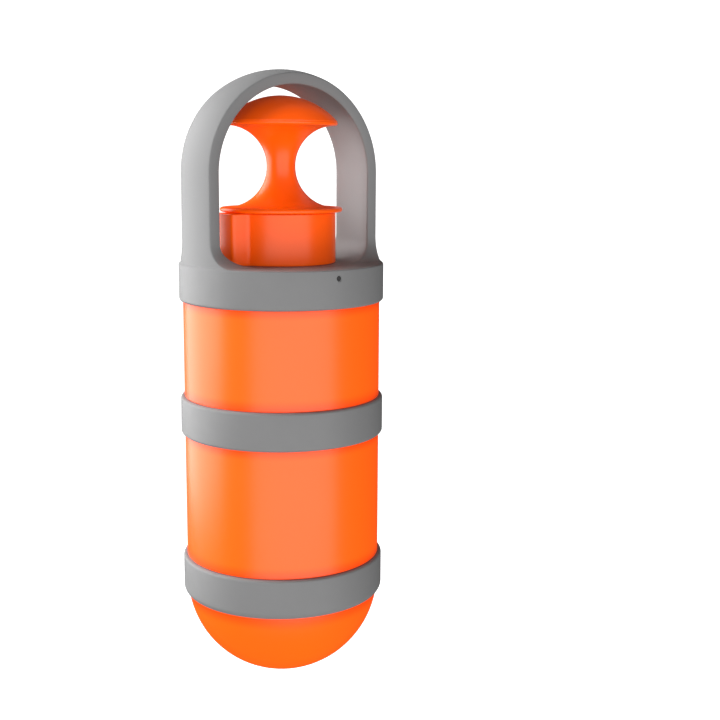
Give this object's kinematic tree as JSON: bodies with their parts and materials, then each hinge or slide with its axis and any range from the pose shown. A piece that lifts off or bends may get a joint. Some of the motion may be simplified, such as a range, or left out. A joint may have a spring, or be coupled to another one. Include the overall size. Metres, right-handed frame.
{
  "type": "firefighter flashlight",
  "caption": "Hand-held fire service lantern: glowing capsule body, domed beam end, grey bands, arched carrying loop and a pull-and-twist spool knob under it.",
  "frame": {"origin": "bottom of the dome, on the lantern's axis", "axes": "+Z along the body axis, from the dome up to the top of the carrying arch; +X across the arch, from leg to leg; -Y is the front, with the status light"},
  "size_m": [0.082, 0.082, 0.2455],
  "materials": {
    "band_grey": "fine matte moulding",
    "shell_orange": "frosted translucent shell that glows from inside",
    "dome_orange": "satin translucent dome",
    "knob_orange": "satin moulding",
    "seal_rubber": "moulded rubber",
    "smoked_pipe": "smoked light pipe",
    "steel": "bright steel",
    "spring_steel": "spring wire",
    "brass": "turned brass",
    "aluminium": "anodised",
    "dark_plastic": "glass-filled moulding",
    "white_plastic": "frosted diffuser",
    "magnet": "plated magnet",
    "circuit_board": "solder-masked board",
    "board_parts": "packaged components",
    "wire_red": "insulated wire",
    "led_yellow": "phosphor",
    "cell_wrap": "steel can in a shrink sleeve, given aluminium for its mean density",
    "mirror_coat": "vacuum-metallised",
    "clear_lens": "clear pane"
  },
  "bodies": {
    "housing": {"handle_yoke": "band_grey", "status_light_pipe": "smoked_pipe", "upper_shell": "shell_orange", "lower_shell": "shell_orange", "middle_band": "band_grey", "shell_o_rings": "seal_rubber", "switch_drum": "knob_orange", "drum_o_ring": "seal_rubber", "drum_nut": "aluminium", "shaft_bushing": "brass", "shaft_seal": "seal_rubber", "carriage_guide": "dark_plastic", "guide_screws": "steel", "detent_ball": "steel", "detent_spring": "spring_steel", "switch_board": "circuit_board", "switch_board_parts": "board_parts", "main_board": "circuit_board", "main_board_parts": "board_parts", "board_screws": "steel", "harness_wires": "wire_red", "core_flange": "aluminium", "core_screws": "steel", "core_tube": "aluminium", "core_spacer": "dark_plastic", "diffuser_sleeves": "white_plastic", "glow_strips": "circuit_board", "glow_leds": "led_yellow", "clamp_nut": "aluminium", "cell_holder": "dark_plastic", "battery_cells": "cell_wrap", "upper_contact_board": "circuit_board", "lower_contact_board": "circuit_board", "contact_springs": "spring_steel", "bus_rod": "brass", "heat_sink": "aluminium", "led_board": "circuit_board", "led_emitter": "led_yellow", "reflector": "mirror_coat", "beam_lens": "clear_lens", "lens_ring": "aluminium", "lens_ring_screws": "steel"},
    "head": {"lower_band": "band_grey", "dome_lens": "dome_orange"},
    "carriage": {"plunger_carriage": "white_plastic", "carriage_magnet": "magnet"},
    "knob": {"knob_spool": "knob_orange", "knob_cap": "knob_orange", "knob_shaft": "steel", "shaft_clips": "spring_steel", "shaft_magnet": "magnet", "knob_screw": "steel"}
  },
  "joints": [
    {"name": "knob_pull", "type": "slide", "parent": "housing", "child": "carriage", "axis": [0, 0, 1], "range_m": [0, 0.004]},
    {"name": "knob_twist", "type": "hinge", "parent": "carriage", "child": "knob", "pos_m": [0, 0, 0.19], "axis": [0, 0, 1], "range_deg": [-135, 135]},
    {"name": "head_twist", "type": "hinge", "parent": "housing", "child": "head", "pos_m": [0, 0, 0.0422], "axis": [0, 0, 1], "range_deg": [0, 25]}
  ]
}
